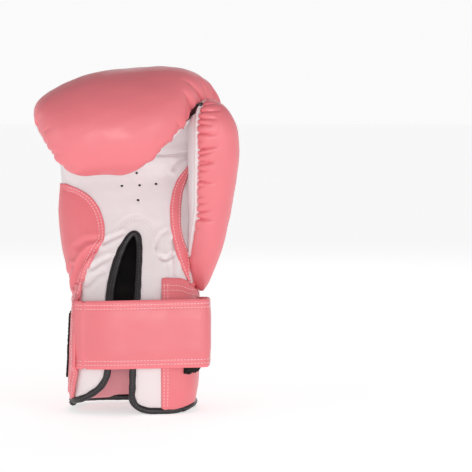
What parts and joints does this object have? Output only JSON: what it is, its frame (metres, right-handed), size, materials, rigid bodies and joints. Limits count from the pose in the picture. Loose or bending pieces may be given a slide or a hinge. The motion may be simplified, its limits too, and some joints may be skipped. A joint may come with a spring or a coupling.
{
  "type": "boxing glove",
  "caption": "Right-hand padded boxing glove with a slit palm, side panel, thumb and a wrap-round hook-and-loop wrist strap, standing on its cuff.",
  "frame": {"origin": "centre of the bounding box's base, where the cuff's hem stands", "axes": "+Z from the cuff to the knuckles, +Y out of the back of the hand, +X to the thumb's side"},
  "size_m": [0.1646, 0.1254, 0.2815],
  "materials": {
    "pink_leather": "satin grained",
    "white_leather": "satin grained",
    "foam": "matte open foam",
    "firm_foam": "matte firm foam",
    "black_lining": "matte woven",
    "black_binding": "satin coated",
    "loop_tape": "matte loop pile",
    "hook_tape": "matte hooks"
  },
  "bodies": {
    "hand": {"palm_panel": "white_leather", "palm_foam": "foam", "side_panel": "pink_leather", "thumb_gusset": "pink_leather", "back_shell": "pink_leather", "back_pad": "foam", "hand_lining": "black_lining", "cuff_shell": "pink_leather", "cuff_foam": "foam", "cuff_lining": "pink_leather", "slit_binding": "black_binding", "hem_binding": "black_binding", "wrist_welt": "pink_leather", "loop_tape": "loop_tape", "strap_root": "pink_leather", "root_tape": "pink_leather"},
    "fingers": {"knuckle_shell": "pink_leather", "knuckle_pad": "foam", "finger_panel": "white_leather", "finger_pad": "foam", "fingertip_pad": "foam", "finger_lining": "black_lining", "grip_bar": "firm_foam"},
    "thumb": {"thumb_shell": "pink_leather", "thumb_pad": "foam", "thumb_panel": "white_leather", "thumb_tie": "black_binding"},
    "strap_front": {"strap_front": "pink_leather"},
    "strap_side": {"strap_side": "pink_leather"},
    "strap_tip": {"strap_tip": "pink_leather", "hook_tape": "hook_tape"}
  },
  "joints": [
    {"name": "fist_open", "type": "hinge", "parent": "hand", "child": "fingers", "pos_m": [-0.00092, 0.06563, 0.205], "axis": [1, 0, 0], "range_deg": [-8, 0], "stiffness_Nm_per_rad": 3},
    {"name": "thumb_out", "type": "hinge", "parent": "hand", "child": "thumb", "pos_m": [0.04908, 0.00363, 0.105], "axis": [0, 1, 0], "range_deg": [0, 4], "stiffness_Nm_per_rad": 1.5},
    {"name": "strap_open", "type": "hinge", "parent": "hand", "child": "strap_front", "pos_m": [-0.04729, -0.03385, 0.067], "axis": [0, 0, 1], "range_deg": [-88, 0]},
    {"name": "strap_front_bend", "type": "hinge", "parent": "strap_front", "child": "strap_side", "pos_m": [0.05628, -0.04017, 0.067], "axis": [0, 0, 1], "range_deg": [-85, 0]},
    {"name": "strap_back_bend", "type": "hinge", "parent": "strap_side", "child": "strap_tip", "pos_m": [0.04978, 0.05173, 0.067], "axis": [0, 0, 1], "range_deg": [-85, 0]}
  ],
  "couplings": [
    {"joint": "strap_front_bend", "follows": "strap_open", "ratio": 0.95},
    {"joint": "strap_back_bend", "follows": "strap_open", "ratio": 0.95}
  ]
}
